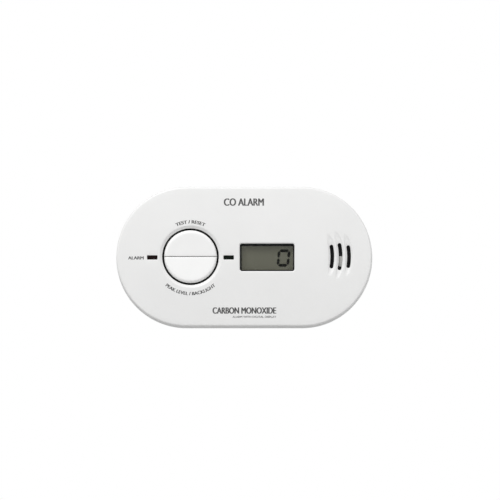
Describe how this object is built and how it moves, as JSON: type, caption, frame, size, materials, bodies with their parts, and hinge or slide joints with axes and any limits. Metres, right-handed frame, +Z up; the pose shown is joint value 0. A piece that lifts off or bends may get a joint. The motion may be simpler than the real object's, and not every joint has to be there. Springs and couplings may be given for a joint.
{
  "type": "carbon monoxide alarm",
  "caption": "Pill-shaped wall carbon monoxide alarm with a split round button, status lights, a digital display, a slotted sounder and a rear battery door.",
  "frame": {"origin": "middle of the wall plane, behind the centre of the case", "axes": "+X along the case to the right of a person who faces it, +Y into the wall, +Z up"},
  "size_m": [0.1474, 0.0383, 0.081],
  "materials": {
    "case_plastic": "white moulded plastic, fine satin texture",
    "key_plastic": "brighter white moulded plastic, satin",
    "black_plastic": "black moulded plastic",
    "elastomer": "layered conductive rubber",
    "window_plastic": "clear acrylic, polished",
    "display_glass": "grey-green reflective liquid crystal display",
    "light_guide": "milky acrylic",
    "alarm_lens": "very dark red, polished",
    "power_lens": "very dark green, polished",
    "board": "green solder mask",
    "steel": "nickel-plated steel",
    "brass": "plain brass",
    "winding": "enamelled copper wire on a ferrite core",
    "cell_jacket": "printed sleeve on a metal can",
    "screen_fabric": "fine woven insect screen",
    "red_insulation": "red wire insulation",
    "black_insulation": "black wire insulation",
    "label": "blank silver-grey polyester label",
    "printing": "grey pad-printed words on the face"
  },
  "bodies": {
    "case": {"front_cover": "case_plastic", "rear_cover": "case_plastic", "key_carrier": "black_plastic", "carrier_screw_1": "steel", "carrier_screw_2": "steel", "display_window": "window_plastic", "display_holder": "black_plastic", "display_glass": "display_glass", "backlight_panel": "light_guide", "display_connector_1": "elastomer", "display_connector_2": "elastomer", "alarm_light_lens": "alarm_lens", "power_light_lens": "power_lens", "alarm_led": "alarm_lens", "power_led": "power_lens", "circuit_board": "board", "board_screw_1": "steel", "board_screw_2": "steel", "board_screw_3": "steel", "test_switch_body": "steel", "level_switch_body": "steel", "processor_chip": "black_plastic", "capacitor": "cell_jacket", "boost_coil": "winding", "gas_sensor": "steel", "sensor_cap": "black_plastic", "horn_base": "black_plastic", "horn_cap": "black_plastic", "piezo_disc": "brass", "port_screen": "screen_fabric", "battery_1": "cell_jacket", "battery_2": "cell_jacket", "battery_3": "cell_jacket", "contact_positive": "steel", "contact_link_right": "steel", "contact_link_left": "steel", "contact_negative": "steel", "contact_spring_1": "steel", "contact_spring_2": "steel", "contact_spring_3": "steel", "lead_positive": "red_insulation", "lead_negative": "black_insulation", "case_screw_1": "steel", "case_screw_2": "steel", "case_screw_3": "steel", "case_screw_4": "steel"},
    "test_key": {"test_key": "key_plastic"},
    "level_key": {"level_key": "key_plastic"},
    "test_plunger": {"test_switch_plunger": "black_plastic"},
    "level_plunger": {"level_switch_plunger": "black_plastic"},
    "battery_door": {"battery_door": "case_plastic", "rating_label": "label"}
  },
  "joints": [
    {"name": "test_key_press", "type": "hinge", "parent": "case", "child": "test_key", "pos_m": [-0.03075, -0.0338, 0.0018], "axis": [-1, 0, 0], "range_deg": [0, 3], "stiffness_Nm_per_rad": 0.12, "springref_deg": -1.15},
    {"name": "level_key_press", "type": "hinge", "parent": "case", "child": "level_key", "pos_m": [-0.03075, -0.0338, -0.0018], "axis": [1, 0, 0], "range_deg": [0, 3], "stiffness_Nm_per_rad": 0.12, "springref_deg": -1.15},
    {"name": "test_switch_travel", "type": "slide", "parent": "case", "child": "test_plunger", "axis": [0, 1, 0], "range_m": [0, 0.00025]},
    {"name": "level_switch_travel", "type": "slide", "parent": "case", "child": "level_plunger", "axis": [0, 1, 0], "range_m": [0, 0.00025]},
    {"name": "battery_door_swing", "type": "hinge", "parent": "case", "child": "battery_door", "pos_m": [0, -0.00165, 0.025], "axis": [1, 0, 0], "range_deg": [0, 95]}
  ],
  "couplings": [
    {"joint": "test_switch_travel", "follows": "test_key_press", "m_per_rad": 0.0047},
    {"joint": "level_switch_travel", "follows": "level_key_press", "m_per_rad": 0.0047}
  ]
}
